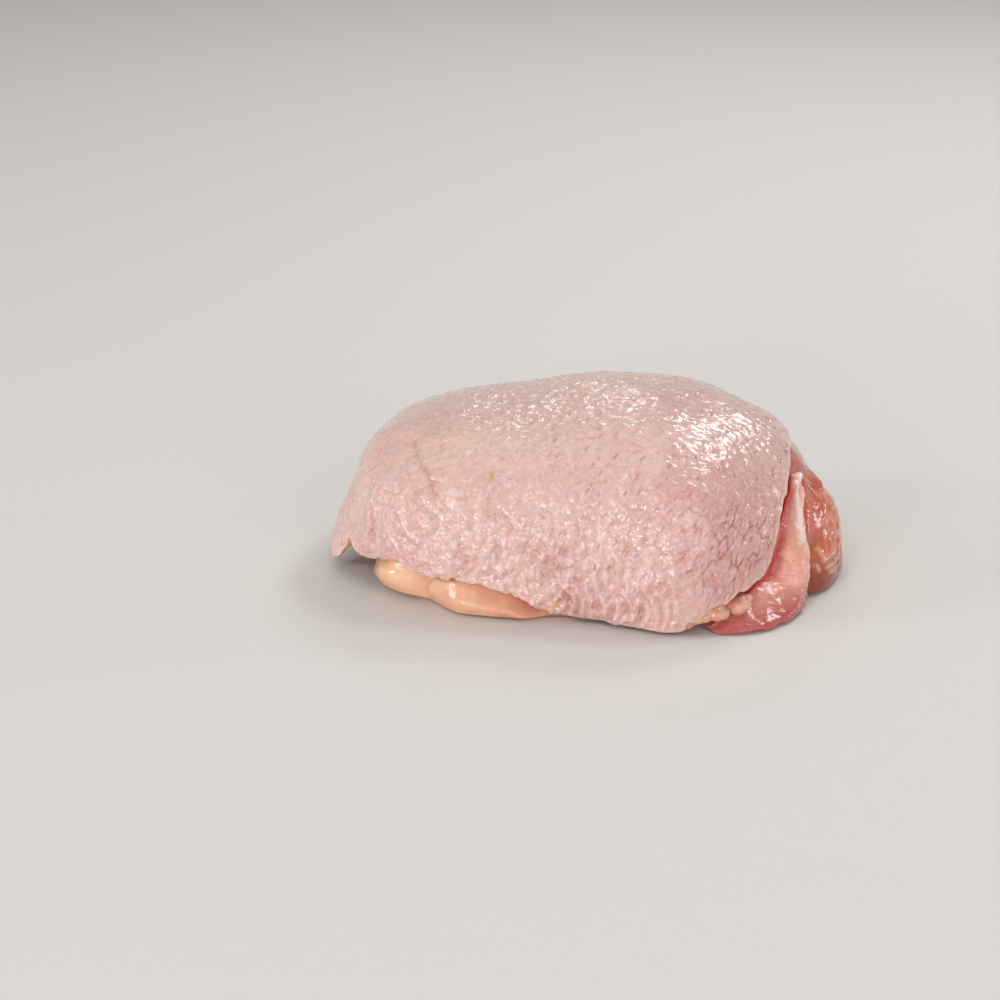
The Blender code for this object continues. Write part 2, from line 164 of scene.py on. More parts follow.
# %% Lights
# Each lamp: its place in metres from the thigh, the side of its square in metres, its watts.
SOFTBOXES = {
    "window_behind": ((0.42, 0.54, 0.70), 0.22, 1.6),
    "lamp_right": ((0.50, 0.22, 0.84), 0.18, 1.5),
    "lamp_behind": ((0.00, 0.80, 0.54), 0.12, 0.36),
    "lamp_above": ((-0.05, 0.10, 0.99), 0.60, 1.0),
    "lamp_left": ((-0.90, -0.20, 0.36), 0.20, 1.8),
    "lamp_front_left": ((-0.34, -0.62, 0.70), 0.13, 0.6),
    "lamp_low_left": ((-0.48, -0.84, 0.14), 0.28, 3.4),
    "lamp_low_right": ((0.95, 0.12, 0.14), 0.12, 0.6),
    "fill_in_front": ((0.45, -0.90, 0.45), 0.60, 2.2),
}


def add_softbox(name, place, side, power):
    """A square area light that faces the thigh."""
    lamp = bpy.data.lights.new(name, "AREA")
    lamp.size = side
    lamp.energy = power
    softbox = add_object(name, lamp)
    softbox.location = place
    softbox.rotation_euler = (-Vector(place)).to_track_quat("-Z", "Y").to_euler()


for name, (place, side, power) in SOFTBOXES.items():
    add_softbox(name, place, side, power)

print("softboxes:", len(SOFTBOXES))

# %% [markdown]
# ## Walls of the studio
#
# The walls light everything softly. They are brightest at the level of the floor and dimmer
# higher up, so that the floor ends in something pale and the lamps can still draw the form. The
# world's direction vector has its height as Z: 0 at the horizon, 0.35 at 20 degrees above it.

# %% Walls
WALL_LOW, WALL_HIGH = 0.80, 0.39
WALL_TOP = 0.35

world = bpy.data.worlds.new("studio")
bpy.context.scene.world = world
world.use_nodes = True
background = world.node_tree.nodes["Background"]
background.inputs["Color"].default_value = to_linear("#f4f2ef")
way = add_node(world, "ShaderNodeTexCoord").outputs["Generated"]
height = add_node(world, "ShaderNodeSeparateXYZ", links={"Vector": way}).outputs["Z"]
fading = {"interpolation_type": "SMOOTHSTEP", "From Max": WALL_TOP, "To Min": WALL_LOW, "To Max": WALL_HIGH}
glow = add_node(world, "ShaderNodeMapRange", fading, {"Value": height}).outputs[0]
world.node_tree.links.new(glow, background.inputs["Strength"])
bpy.context.scene.view_settings.view_transform = "Standard"
print("walls from", WALL_LOW, "to", WALL_HIGH)

# %% [markdown]
# ## From a solid to clay
#
# The solids are made of large triangles. To sculpt them, a copy is welded, its triangles are
# joined back to four-sided faces, and a subdivision surface rounds and divides it. The result
# follows the solid, and has points close enough together for real relief. A sculpting brush or
# a Displace modifier would do too, but numpy moves all points in one go and repeats exactly.

# %% Fine copies
WELD = 0.001 * MM
FLAT_ENOUGH = math.radians(60.0)


def fine_copy(solid_name, piece_name, levels):
    """A finely divided copy of one solid of the frame."""
    shell = bmesh.new()
    shell.from_mesh(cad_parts[solid_name].data)
    bmesh.ops.remove_doubles(shell, verts=shell.verts, dist=WELD)
    joined = {"angle_face_threshold": FLAT_ENOUGH, "angle_shape_threshold": FLAT_ENOUGH}
    bmesh.ops.join_triangles(shell, faces=shell.faces, **joined)
    coarse = bpy.data.meshes.new(piece_name)
    shell.to_mesh(coarse)
    shell.free()
    piece = add_object(piece_name, coarse)
    divide = piece.modifiers.new("divide", "SUBSURF")
    divide.levels = levels
    divide.render_levels = levels
    settle(piece)
    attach(piece, "root")
    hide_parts(solid_name)
    return piece


def settle(piece):
    """Turns the piece's modifiers into plain mesh."""
    seen = piece.evaluated_get(bpy.context.evaluated_depsgraph_get())
    mesh = bpy.data.meshes.new_from_object(seen)
    piece.modifiers.clear()
    piece.data = mesh
    mesh.shade_smooth()


def points_of(piece):
    """The piece's points in millimetres, one row each."""
    flat = np.empty(len(piece.data.vertices) * 3, np.float32)
    piece.data.vertices.foreach_get("co", flat)
    return flat.reshape(-1, 3).astype(float) / MM


def normals_of(piece):
    """The direction in which the surface faces at each point."""
    flat = np.empty(len(piece.data.vertices) * 3, np.float32)
    piece.data.vertex_normals.foreach_get("vector", flat)
    return flat.reshape(-1, 3).astype(float)


def move_points(piece, points):
    """Puts the piece's points at new places, in millimetres."""
    piece.data.vertices.foreach_set("co", (points * MM).astype(np.float32).ravel())
    piece.data.update()


def mark(piece, name, values):
    """Keeps a number from 0 to 1 at each point, for the finish to read."""
    layer = piece.data.attributes.new(name, "FLOAT", "POINT")
    layer.data.foreach_set("value", np.clip(values, 0.0, 1.0).astype(np.float32))


# %% [markdown]
# ## Tools for sculpting
#
# Natural relief needs soft steps, patches, folds and noise. A fold is the distance to a line,
# turned into a soft rise close to it. Noise comes from a lattice of random numbers, made from
# the lattice's own coordinates, so that it is the same on each run. Cells do the same with one
# random point in each square, and give a pebbled pattern like feather bumps.


# %% Steps, patches and distances
def ramp(value, low, high):
    """0 below low, 1 above high, with a soft rise in between."""
    t = np.clip((value - low) / (high - low), 0.0, 1.0)
    return t * t * (3.0 - 2.0 * t)


def fall(distance, reach):
    """1 at no distance. About a third is left at the reach, and next to nothing at twice it."""
    return np.exp(-((distance / reach) ** 2))


def patch(points, centre, reach):
    """1 at a place, falling off the same way. The reach is one for all axes, or one for each."""
    away = (points - np.array(centre)) / np.array(reach)
    return np.exp(-np.sum(away**2, axis=1))


def off_line(points, line):
    """Distance from each point to a line through a few places."""
    nearest = np.full(len(points), np.inf)
    for start, end in zip(line, line[1:]):
        start = np.array(start, dtype=float)
        run = np.array(end, dtype=float) - start
        share = np.clip((points - start) @ run / (run @ run), 0.0, 1.0)
        away = np.linalg.norm(points - start - share[:, None] * run, axis=1)
        nearest = np.minimum(nearest, away)
    return nearest


def off_places(points, places):
    """Distance from each point to the nearest of many places."""
    tree = KDTree(len(places))
    for k, place in enumerate(places):
        tree.insert(place, k)
    tree.balance()
    return np.array([tree.find(point)[2] for point in points])


# %% Noise and cells
def scatter(cell, seed):
    """A random number from -1 to 1 for each cell of a lattice, always the same for a seed."""
    primes = (374761393, 668265263, 2147483647)
    code = np.full(len(cell), seed * 974634777, dtype=np.int64)
    for axis in range(cell.shape[1]):
        code = code + cell[:, axis].astype(np.int64) * primes[axis]
    code = (code ^ (code >> 13)) * 1274126177
    code = (code ^ (code >> 16)) * 974634777
    return ((code ^ (code >> 15)) & 0xFFFFFF) / float(0x7FFFFF) - 1.0


def noise(points, size, seed):
    """Smooth random values from -1 to 1. Size is the width of one hump in millimetres."""
    place = points / np.array(size)
    cell = np.floor(place).astype(np.int64)
    t = place - cell
    t = t * t * t * (t * (t * 6.0 - 15.0) + 10.0)
    total = np.zeros(len(points))
    for corner in itertools.product((0, 1), repeat=points.shape[1]):
        step = np.array(corner)
        weight = np.prod(np.where(step == 1, t, 1.0 - t), axis=1)
        total += weight * scatter(cell + step, seed)
    return total


def cells(place, jitter, seed):
    """Staggered rows of cells on a plane: nearest and next distance, way to the nearest, its lot."""
    square = np.floor(place).astype(np.int64)
    nearest = np.full(len(place), 9.0)
    second = nearest.copy()
    way = np.zeros_like(place)
    lot = np.zeros(len(place))
    for step in itertools.product((-2, -1, 0, 1, 2), (-1, 0, 1)):
        cell = square + np.array(step)
        middle = cell + 0.5
        middle[:, 0] += 0.5 * (cell[:, 1] % 2)
        middle += jitter * 0.5 * np.stack([scatter(cell, seed), scatter(cell, seed + 1)], axis=1)
        off = place - middle
        far = np.hypot(off[:, 0], off[:, 1])
        closer = far < nearest
        second = np.where(closer, nearest, np.minimum(second, far))
        way[closer] = off[closer]
        lot[closer] = scatter(cell, seed + 2)[closer]
        nearest = np.minimum(nearest, far)
    return nearest, second, way, lot


sample = noise(np.arange(300.0).reshape(-1, 3), 7.0, 1)
print("noise from", round(sample.min(), 2), "to", round(sample.max(), 2))

# %% [markdown]
# ## Skin: the sheet
#
# Chicken skin is a soft sheet nearly two millimetres thick with its fat. Its outer side needs
# the finest mesh of all. The whole sheet is sculpted as one, and then cut in two along its rim,
# so that the underside, which lies on the meat, can be thinned out with a Decimate modifier.

# %% Skin, divided


def facing_out(points, normals):
    """1 where a surface faces away from the core line of the thigh, -1 where it faces it."""
    core = points.copy()
    core[:, 0] = np.clip(core[:, 0], -25.0, 25.0)
    core[:, 1] = 0.0
    core[:, 2] = 8.0
    out = points - core
    return np.sum(out * normals, axis=1) / np.linalg.norm(out, axis=1)


skin = fine_copy("skin", "raw_skin", 3)
skin_points = points_of(skin)
skin_normals = normals_of(skin)
faces_out = facing_out(skin_points, skin_normals)
print("skin points:", len(skin_points))

# %% [markdown]
# ## Skin: a map of it
#
# Feather bumps stand in staggered rows that follow the skin, not the room. So each point gets
# a place on a flattened map: its direction from the top, and its way down from there. The
# distance to the cut edge is kept as well, because the pattern fades out there.

# %% Skin, mapped
TOP = 44.0
DROP_SHARE = 0.85
RIM_BAND = 0.2


def skin_map(points):
    """Each point's place on the flattened skin, in millimetres."""
    out = np.hypot(points[:, 0], points[:, 1]) + 0.001
    way_down = out + DROP_SHARE * (TOP - points[:, 2])
    return points[:, :2] / out[:, None] * way_down[:, None]


# Points on the cut edge face sideways, neither away from the flesh nor towards it.
cut_edge = skin_points[np.abs(faces_out) < RIM_BAND]
outer = ramp(faces_out, 0.1, 0.45)
rim = off_places(skin_points, cut_edge)
flat = skin_map(skin_points)
print("widest reach from the rim in mm:", round(float(rim[outer > 0.5].max()), 1))

# %% [markdown]
# ## Skin: relief
#
# The relief is built up like a drawing, from large to small. Slow swells come first, then the
# folds where the skin is pulled at the left and the gathers where it is bunched along the front
# hem. Cloth simulation could pull a sheet too, but these folds are fixed by the flesh below, so
# each is laid along a line: its places, its half width and its height in millimetres.

# %% Skin, large relief
# Each swell: its height and width in millimetres, and the seed of its noise.
SWELLS = ((0.45, 13.0, 3), (0.25, 6.0, 4))
PULLED_FOLDS = (
    (((-41.5, -10.0, 35.0), (-39.0, -20.5, 32.0), (-36.3, -26.0, 29.0), (-34.0, -30.5, 22.0)), 2.0, -0.9),
    (((-42.2, -18.0, 32.5), (-41.5, -24.3, 27.0), (-40.5, -26.8, 23.8), (-37.8, -29.8, 20.5)), 1.3, 0.8),
    (((-44.8, -20.0, 28.0), (-43.2, -26.0, 21.5), (-42.0, -28.0, 18.5)), 0.8, 1.1),
    (((-47.5, -21.0, 21.0), (-45.0, -26.3, 15.5), (-43.5, -27.8, 13.0)), 0.8, 1.0),
    (((-51.6, -16.8, 20.0), (-51.2, -18.6, 18.2), (-51.0, -18.8, 13.3)), 1.0, -1.0),
    (((-34.5, -19.0, 34.5), (-31.0, -27.0, 29.5), (-28.5, -31.0, 23.5)), 1.4, 0.5),
    (((-14.0, -36.5, 15.5), (-7.6, -37.4, 13.8), (1.3, -39.2, 13.4), (10.1, -41.4, 15.0)), 1.1, -0.4),
)
CREASES = (
    (
        (-41.5, -10.0, 35.0),
        (-41.0, -14.0, 34.0),
        (-39.0, -20.5, 32.0),
        (-36.3, -26.0, 29.0),
        (-34.0, -29.8, 25.0),
    ),
    ((-51.2, -18.6, 18.2), (-51.0, -18.8, 13.3)),
)
CREASE_WIDTH, CREASE_DEPTH = 0.6, 0.15
x, y, z = skin_points.T
relief = sum(height * noise(skin_points, width, seed) for height, width, seed in SWELLS)
uneven = 0.8 + 0.4 * noise(skin_points, 4.0, 29)
for line, width, height in PULLED_FOLDS:
    relief += height * uneven * fall(off_line(skin_points, line), width)
wandering = skin_points + 0.9 * np.stack([noise(skin_points, 3.5, seed) for seed in (24, 25, 26)], axis=1)
fold_crease = sum(fall(off_line(wandering, line), CREASE_WIDTH) for line in CREASES)
fold_crease *= ramp(noise(skin_points, 2.4, 28), -0.9, 0.2)
relief -= CREASE_DEPTH * fold_crease

GATHER_PITCH, GATHER_HEIGHT = 2.6, 0.50
hem_front = ramp(-y, 20.0, 32.0) * ramp(x, -16.0, -6.0) * ramp(-x, -24.0, -10.0)
gather_zone = hem_front * ramp(-z, -19.0, -5.0)
waver = x + 2.2 * noise(skin_points, 6.0, 5) + 0.15 * z
gathers = 0.6 * np.cos(2.0 * math.pi * waver / GATHER_PITCH) + 0.9 * noise(skin_points, (1.5, 3.0, 5.0), 16)
relief += GATHER_HEIGHT * gather_zone * gathers
print("gather zone points:", int((gather_zone > 0.5).sum()))

# %% [markdown]
# ## Skin: follicles
#
# Every feather left a follicle: a small raised lip with a slit where it slants into the skin.
# They stand in staggered rows, four millimetres apart one way and three and a half the other.
# A cell pattern with one point in each cell gives the rows, and the way from that point tells
# lip, slit and the shallow valley between two follicles apart.

# %% Skin, follicles
FOLLICLE_PITCH = np.array((4.1, 3.4))
LIP_REACH, LIP_HEIGHT = 0.95, 0.28
VALLEY_DEPTH = 0.14
SLIT_WIDTH, SLIT_DEPTH = 0.28, 0.26
SLIT_PLACE = np.array((0.6, 0.4))
ROW_TURN = math.radians(9.0)
row_axes = [[math.cos(ROW_TURN), -math.sin(ROW_TURN)], [math.sin(ROW_TURN), math.cos(ROW_TURN)]]
turned = flat @ np.array(row_axes)
warp = np.stack([noise(skin_points, 11.0, 6), noise(skin_points, 11.0, 7)], axis=1)
near, second, way, lot = cells((turned + 1.4 * warp) / FOLLICLE_PITCH, 0.75, 8)
way = way * FOLLICLE_PITCH
off_follicle = np.hypot(way[:, 0], way[:, 1])

shoulder = ramp(x, 2.0, 24.0) * ramp(z, 22.0, 34.0)
low_band = ramp(-z, -31.0, -21.0)
right_side = ramp(x, 12.0, 34.0)
lip = fall(off_follicle, LIP_REACH) * (0.75 + 0.25 * lot)
fine = (LIP_HEIGHT + 0.12 * low_band) * lip
fine -= VALLEY_DEPTH * (1.0 - ramp(second - near, 0.0, 0.35)) * (1.0 - shoulder)

slit_turn = math.radians(40.0) + math.radians(50.0) * right_side
off_slit = way + SLIT_PLACE
along_slit = off_slit[:, 0] * np.cos(slit_turn) + off_slit[:, 1] * np.sin(slit_turn)
across_slit = off_slit[:, 1] * np.cos(slit_turn) - off_slit[:, 0] * np.sin(slit_turn)
slit = fall(across_slit, SLIT_WIDTH) * (1.0 - ramp(np.abs(along_slit), 0.5, 1.4))
slit *= ramp(lot, -0.5, 0.8) * (0.35 + 0.65 * ramp(x, -30.0, 5.0))
fine -= SLIT_DEPTH * slit
print("follicles at a pitch of", FOLLICLE_PITCH, "mm")

# %% [markdown]
# ## Skin: cracks, pebbles and wrinkles
#
# The skin isn't the same all over. Near the joint it is quilted by fine cracks. Low at the front
# it is bunched, and its bumps crowd into pebbles. Over the right shoulder it is stretched, and
# its wrinkles all run one way, which draws the gleam out into streaks. At the upper left and at
# the tip it is calm. Each kind fades into the next by a soft zone.

# %% Skin, cracks, pebbles and fine wrinkles
QUILT_PITCH = np.array((3.0, 5.0))
CRACK_DEPTH = 0.28
KNOB_REACH = 1.35
quilt_zone = patch(skin_points, (31.0, -36.0, 19.0), (15.0, 16.0, 12.0))
quilt_near, quilt_second = cells((flat + 1.2 * warp) / QUILT_PITCH, 0.8, 21)[:2]
crack = (1.0 - ramp(quilt_second - quilt_near, 0.02, 0.14)) * ramp(noise(skin_points, 3.2, 22), -0.35, 0.35)
fine -= CRACK_DEPTH * quilt_zone * crack

pebbles = low_band * ramp(-x, -24.0, -6.0) * ramp(-y, 5.0, 15.0)
knob = noise(skin_points, 3.6, 27)
pebble = noise(skin_points, 2.2, 23)
grain = noise(skin_points, 1.25, 10)
knobs = fall(off_follicle, KNOB_REACH)
fine += pebbles * (0.28 * knobs + 0.18 * knob) + (0.05 + 0.18 * pebbles) * pebble
fine += (0.04 + 0.13 * pebbles + 0.08 * lip) * (1.0 - 0.8 * shoulder) * grain

STREAK_TURN = math.radians(-33.0)
along = flat[:, 0] * math.cos(STREAK_TURN) + flat[:, 1] * math.sin(STREAK_TURN)
across = flat[:, 1] * math.cos(STREAK_TURN) - flat[:, 0] * math.sin(STREAK_TURN)
streaks = noise(np.stack([along, across], axis=1), (4.5, 0.72), 9)
fine += (0.05 + 0.14 * shoulder + 0.10 * lip) * streaks
fine += (0.03 + 0.07 * pebbles) * noise(skin_points, 0.85, 17)
fine *= 1.0 - 0.4 * ramp(y, -4.0, 8.0)
calm = 0.7 * patch(skin_points, (-46.0, 3.0, 33.0), (18.0, 20.0, 13.0))
calm = np.maximum(calm, 0.75 * patch(skin_points, (-51.0, -15.0, 18.0), (12.0, 14.0, 16.0)))
relief += (1.0 - calm) * fine
print("relief from", round(float(relief.min()), 2), "to", round(float(relief.max()), 2), "mm")

# %% [markdown]
# ## Skin: hem
#
# The cut edge is thin, wavy and a little ragged. It is lifted or lowered at a few places at the
# front, and on the joint side it bends down to the meat by up to three millimetres. The relief
# fades out close to the edge, so that the sheet stays whole there.

# %% Skin, hem
# Each lift: its place in plan, how far it reaches and how high it lifts, in millimetres.
HEM_LIFTS = (
    ((-56.6, -11.2), 1.4, 2.8),
    ((-59.9, -7.0), 1.8, -1.5),
    ((23.5, -42.8), 2.6, 2.0),
    ((27.0, -41.6), 2.6, 1.6),
)
fade = outer * ramp(rim, 0.2, 1.6)
hem = outer * fall(rim, 1.5)
relief = relief * fade + 0.30 * hem * noise(skin_points, 2.2, 11)
points = skin_points + relief[:, None] * skin_normals
plan = skin_points[:, :2]
ragged = fall(rim, 2.2) * ramp(z, 1.5, 5.0)
points[:, 2] += ragged * (0.7 * noise(plan, 2.6, 12) + 0.35 * noise(plan, 1.1, 13))
for place, width, height in HEM_LIFTS:
    points[:, 2] += height * patch(plan, place, width) * fall(rim, 3.5)
joint_side = patch(skin_points, (49.0, 4.0, 34.0), (10.0, 17.0, 12.0))
points[:, 2] -= joint_side * (0.9 + 2.0 * fall(rim, 2.8))
move_points(skin, points)
print("highest skin point in mm:", round(float(points[:, 2].max()), 1))

# %% [markdown]
# ## Skin: where the colours go
#
# Raw skin is pale pink and cream. It is pinker where it is thin or gathered, and creamier where fat
# lies under it. A pale painted glint lies on its bumps and on the crests of the folds at the left.
# Its slits, cracks, fold valleys and the hollows between pebbles are red-brown, partly their own
# colour and partly painted shade. Each of these is kept as a number at every point, and the
# finish mixes its colours by them. Two more marks, grain and shoulder, say where the finest
# relief is pebbly and where it is streaked.
# Painting by hand in texture paint would do as well, but a mark follows the relief exactly.

# %% Skin, marked
STAINS = ((-22.9, -26.5, 32.5), (-24.0, -31.5, 25.5))
STAIN_SIZE = (1.0, 1.5, 1.9)
VALLEY_WIDTH, RIDGE_WIDTH = 0.7, 0.5
swells = noise(skin_points, 16.0, 14)
blush = 0.75 * patch(skin_points, (34.0, -32.0, 17.0), (17.0, 20.0, 17.0))
blush += 0.5 * gather_zone * (0.6 - 0.4 * gathers)
blush += 0.35 * patch(skin_points, (-44.0, -22.0, 12.0), (12.0, 12.0, 8.0))
blush += 0.25 * ramp(noise(skin_points, 9.0, 15), 0.0, 0.9)
blush += 0.45 * patch(skin_points, (-37.0, -8.0, 37.5), (3.5, 5.0, 3.0))
cream = 0.45 * patch(skin_points, (-36.0, -5.0, 34.0), (22.0, 26.0, 12.0))
cream += 0.30 * ramp(swells, 0.0, 0.8)
stain = sum(patch(skin_points, place, STAIN_SIZE) for place in STAINS)
stain *= 0.85 * ramp(noise(skin_points, 1.1, 30), -1.2, 0.6)
stain += 0.6 * patch(skin_points, (-8.5, -38.0, 5.5), (5.0, 3.0, 2.2)) * ramp(-gathers, -0.4, 0.8)
# Red-brown in the slits, cracks, fold valleys, gather valleys and pebble hollows: partly the creases' own
# colour, partly painted shade.
valley_lines = [line for line, _, height in PULLED_FOLDS if height < -0.9]
valleys = sum(fall(off_line(skin_points, line), VALLEY_WIDTH) for line in valley_lines)
crease_shade = 0.38 * fold_crease + 0.22 * valleys * ramp(noise(skin_points, 2.0, 31), -1.0, 0.4)
crease_shade += (1.0 - calm) * (1.0 - 0.5 * ramp(z, 38.0, 43.0)) * 0.80 * slit
crease_shade += 1.1 * quilt_zone * crack + 0.3 * gather_zone * ramp(-gathers, 0.2, 1.2)
crease_shade += 0.25 * pebbles * ramp(-knob - 0.5 * pebble, 0.35, 1.0)
mark(skin, "crease_shade", fade * crease_shade)
mark(skin, "freckle", fade * lip * ramp(lot, 0.55, 0.9) * (0.2 + 0.5 * low_band))
mark(skin, "shoulder", shoulder)
mark(skin, "grain", (0.35 + 0.65 * pebbles + 0.5 * lip) * (1.0 - 0.6 * shoulder))
mark(skin, "blush", blush)
mark(skin, "cream", cream)
# A pale painted glint on the follicle lips, strongest in the pebbled band, and on the crests of the folds
# at the left.
ridge_lines = [line for line, _, height in PULLED_FOLDS if height > 0.9]
ridges = sum(fall(off_line(skin_points, line), RIDGE_WIDTH) for line in ridge_lines)
painted_glint = (0.14 + 0.62 * pebbles) * lip * ramp(grain, -0.3, 0.5)
mark(skin, "painted_glint", painted_glint + 0.6 * ridges * ramp(noise(skin_points, 2.0, 32), -0.8, 0.4))
mark(skin, "stain", stain)
mark(skin, "hem", fall(rim, 0.9))
notch_side = patch(skin_points, (-57.0, -10.5, 8.0), (2.5, 2.5, 3.5)) * ramp(-faces_out, -0.7, -0.3)
mark(skin, "inside", np.maximum(1.0 - ramp(faces_out, -0.35, 0.05), notch_side))
print("marks:", ", ".join(layer.name for layer in skin.data.attributes if layer.data_type == "FLOAT"))

# %% [markdown]
# ## Skin: outside and underside
#
# Now the sheet is cut in two along its rim. The outside keeps all its points. The underside can
# be seen only at the hanging tip and from below, so a Decimate modifier leaves one face in eight.

# %% Skin, cut along its rim
UNDERSIDE_SHARE = 0.12


def keep_faces(piece, wanted):
    """Removes the faces that aren't wanted, and the points that only they used."""
    shell = bmesh.new()
    shell.from_mesh(piece.data)
    unwanted = [face for face, stays in zip(shell.faces, wanted) if not stays]
    bmesh.ops.delete(shell, geom=unwanted, context="FACES")
    shell.to_mesh(piece.data)
    shell.free()


corners = np.array([face.vertices[:] for face in skin.data.polygons])
face_is_outer = faces_out[corners].mean(axis=1) > 0.0
underside = add_object("skin_underside", skin.data.copy())
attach(underside, "root")
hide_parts("skin")
keep_faces(skin, face_is_outer)
keep_faces(underside, ~face_is_outer)
thin_out = underside.modifiers.new("thin_out", "DECIMATE")
thin_out.ratio = UNDERSIDE_SHARE
settle(underside)
for piece in (skin, underside):
    print(piece.name, "triangles:", sum(len(face.vertices) - 2 for face in piece.data.polygons))

# %% [markdown]
# ## Finish: moist raw skin
#
# Raw skin is a wet, translucent sheet of collagen over fat. Light enters it, spreads a
# millimetre or two and comes out warm, which subsurface scattering gives. The film of melted fat
# and water on top is a coat with the IOR of fat, 1.46, and it is smooth, so that it glints. Pores
# and the finest wrinkles are a bump. Real ones are 0.2 to 0.5 mm wide. They are drawn at 0.8 to
# 1.5 mm, because finer ones don't show in the render.


# %% Layers of colour
def layered(material, colour, layers):
    """Lays colours over each other. Each has a share: a socket, or the name of a mark."""
    for share, code in layers:
        if isinstance(share, str):
            share = add_node(material, "ShaderNodeAttribute", {"attribute_name": share}).outputs["Fac"]
        below = {} if isinstance(colour, str) else {6: colour}
        settings = {"data_type": "RGBA", 7: to_linear(code)}
        if isinstance(colour, str):
            settings[6] = to_linear(colour)
        colour = add_node(material, "ShaderNodeMix", settings, {0: share, **below}).outputs[2]
    return colour


def mottle(material, size_mm, low, high, detail=3.0):
    """Patches from 0 to 1 of about a size in millimetres, cut between two noise levels."""
    place = add_node(material, "ShaderNodeTexCoord").outputs["Object"]
    scale = {"Scale": 1.0 / (size_mm * MM), "Detail": detail}
    cloud = add_node(material, "ShaderNodeTexNoise", scale, {"Vector": place})
    cut = {"From Min": low, "From Max": high}
    return add_node(material, "ShaderNodeMapRange", cut, {"Value": cloud.outputs[0]}).outputs[0]


def wet_surface(material, colour, roughness, height, height_mm, constants):
    """Joins colour, roughness and fine relief in a shader with plain constants for the rest."""
    relief = {"Strength": 1.0, "Distance": height_mm * MM}
    bump = add_node(material, "ShaderNodeBump", relief, {"Height": height}).outputs[0]
    links = {"Base Color": colour, "Roughness": roughness, "Normal": bump, "Coat Normal": bump}
    shader = add_node(material, "ShaderNodeBsdfPrincipled", constants, links)
    add_node(material, "ShaderNodeOutputMaterial", links={"Surface": shader.outputs[0]})


# %% Moist raw skin
SKIN_WETNESS = {
    "IOR": 1.42,
    "Subsurface Weight": 0.35,
    "Subsurface Radius": (1.0, 0.42, 0.28),
    "Subsurface Scale": 0.0022,
    "Coat Weight": 1.0,
    "Coat Roughness": 0.07,
    "Coat IOR": 1.46,
}


def moist_raw_skin():
    """Pale pink skin: cream, blush, painted glints, painted shade in creases, and a wet gleam."""
    finish = new_material("moist_raw_skin")
    layers = (
        (mottle(finish, 7.0, 0.35, 0.65), "#dcb7ae"),
        ("cream", "#e4c0ae"),
        ("blush", "#cd9390"),
        (mottle(finish, 1.6, 0.55, 0.80), "#cd9e95"),
        (mottle(finish, 1.0, 0.50, 0.85), "#e6cbc5"),
        # a pale painted glint on bumps and fold crests
        ("painted_glint", "#f1dddb"),
        ("stain", "#c69a68"),
        ("freckle", "#d29a82"),
        # red-brown creases, partly painted shade
        ("crease_shade", "#aa5a4e"),
        ("hem", "#e6c4b4"),
        ("inside", "#c98460"),
    )
    colour = layered(finish, "#d5aca4", layers)
    range_of = {"To Min": 0.22, "To Max": 0.36}
    damp = {"Value": mottle(finish, 4.0, 0.3, 0.7)}
    roughness = add_node(finish, "ShaderNodeMapRange", range_of, damp).outputs[0]
    place = add_node(finish, "ShaderNodeTexCoord").outputs["Object"]
    drawn_out = {"Rotation": (0.0, 0.0, math.radians(32.0)), "Scale": (0.12, 1.0, 1.0)}
    turned = add_node(finish, "ShaderNodeMapping", drawn_out, {"Vector": place}).outputs[0]
    fine = {"Scale": 1.0 / (0.9 * MM), "Detail": 1.0}
    wrinkles = add_node(finish, "ShaderNodeTexNoise", fine, {"Vector": turned}).outputs[0]
    shoulder = add_node(finish, "ShaderNodeAttribute", {"attribute_name": "shoulder"}).outputs["Fac"]
    shares = {0: wrinkles, 1: shoulder}
    streaks = add_node(finish, "ShaderNodeMath", {"operation": "MULTIPLY"}, shares).outputs[0]
    small_cells = {"feature": "SMOOTH_F1", "Scale": 1.0 / (1.5 * MM), "Smoothness": 0.35}
    web = add_node(finish, "ShaderNodeTexVoronoi", small_cells, {"Vector": place}).outputs["Distance"]
    pores = mottle(finish, 0.8, 0.25, 0.75, 1.0)
    both = {0: web, 1: pores}
    pebbled = add_node(finish, "ShaderNodeMath", {"operation": "SUBTRACT"}, both).outputs[0]
    grain = add_node(finish, "ShaderNodeAttribute", {"attribute_name": "grain"}).outputs["Fac"]
    shares = {0: pebbled, 1: grain, 2: streaks}
    height = add_node(finish, "ShaderNodeMath", {"operation": "MULTIPLY_ADD"}, shares).outputs[0]
    wet_surface(finish, colour, roughness, height, 0.21, SKIN_WETNESS)
    return finish


def dress(piece, finish):
    """Gives a piece one finish all over."""
    piece.data.materials.clear()
    piece.data.materials.append(finish)
    print(piece.name, "wears", finish.name, "on", len(piece.data.polygons), "faces")


raw_skin_finish = moist_raw_skin()
dress(skin, raw_skin_finish)
dress(underside, raw_skin_finish)

# %% [markdown]
# ## Meat
#
# The meat shows at the joint end and underneath. It is bundles of fibres that run along the
# thigh, wrapped in thin silvery membrane. The fibres are shallow ridges in the mesh, and cream
# fat lies in the grooves between the muscles. Its flat sole stays flat, because the thigh lies
# on it, so there the relief only goes inwards.

